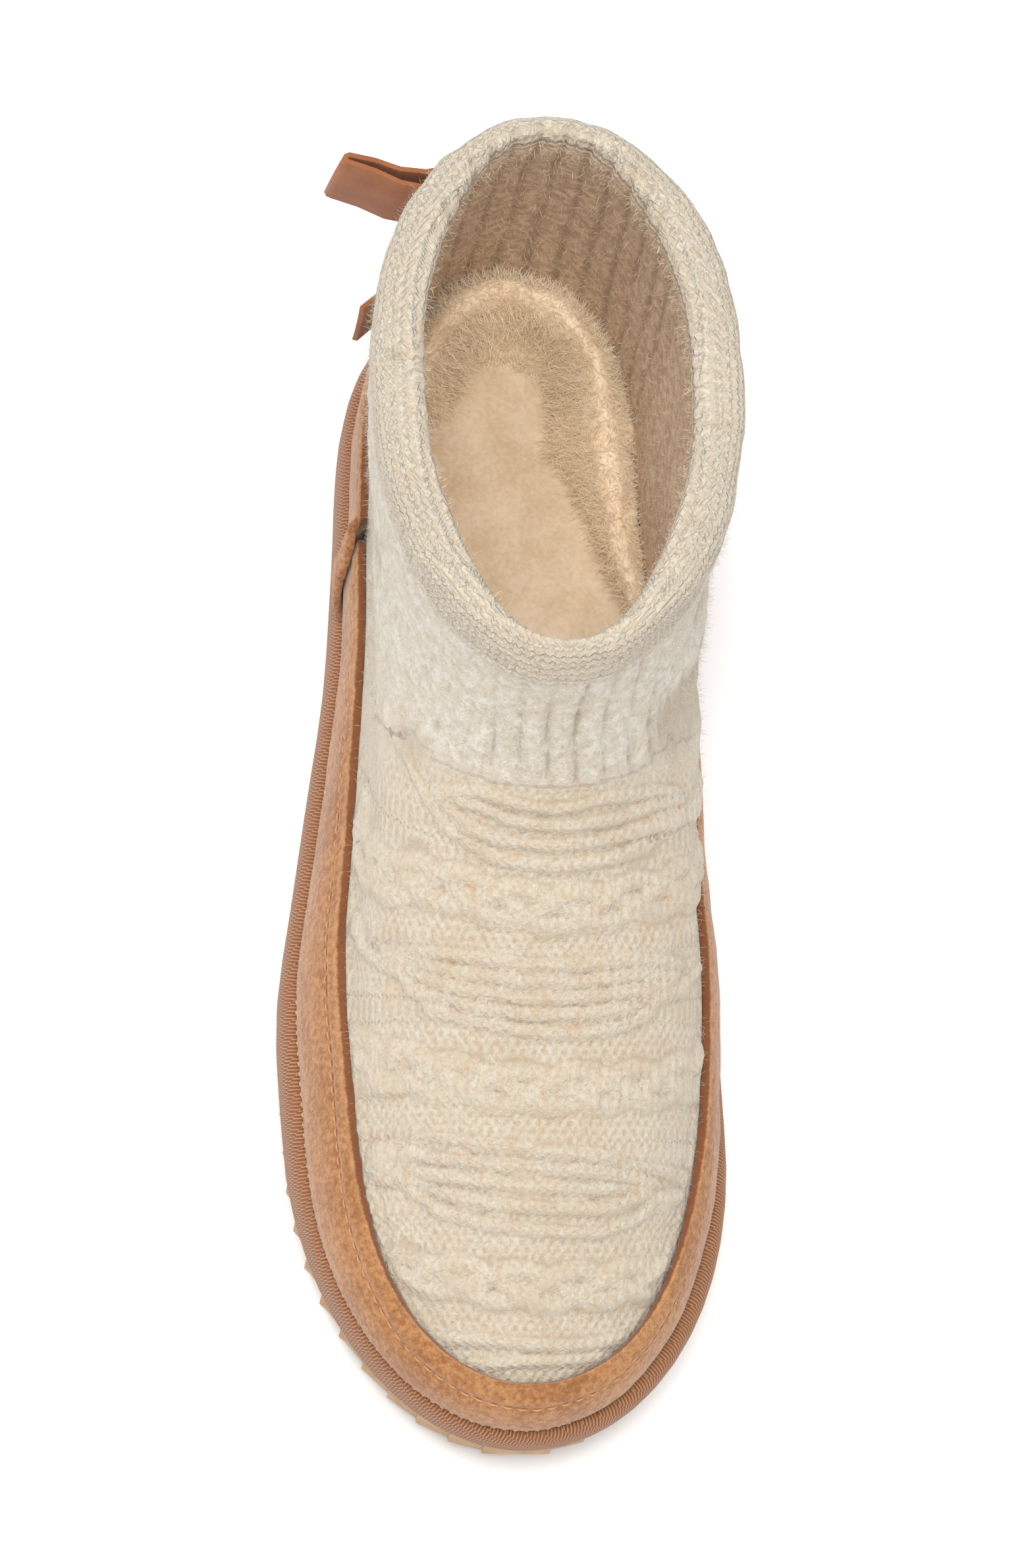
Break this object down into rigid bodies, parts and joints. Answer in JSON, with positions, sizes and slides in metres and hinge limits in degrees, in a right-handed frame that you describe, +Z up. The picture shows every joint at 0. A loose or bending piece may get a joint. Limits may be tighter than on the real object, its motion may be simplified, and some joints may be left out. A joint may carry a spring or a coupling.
{
  "type": "knit ankle boot",
  "caption": "Open knit ankle boot on a thick wrapped platform sole with a toothed tread, a suede edge band and heel counter, an insole and a heel pull loop.",
  "frame": {"origin": "on the ground under the middle of the whole boot", "axes": "+Z up, +Y towards the heel, -Y towards the toe, -X the wearer's right, which is the outer side of this right foot"},
  "size_m": [0.0998, 0.279, 0.1508],
  "materials": {
    "outsole": "matt",
    "midsole": "matt twill",
    "insole": "short pile",
    "knit": "matt wool",
    "suede": "suede",
    "strap": "suede"
  },
  "bodies": {
    "root": {"outsole": "outsole", "midsole": "midsole", "insole": "insole", "knit_upper": "knit", "rand": "suede", "heel_counter": "suede", "heel_patch": "strap", "pull_loop": "strap"}
  },
  "joints": []
}
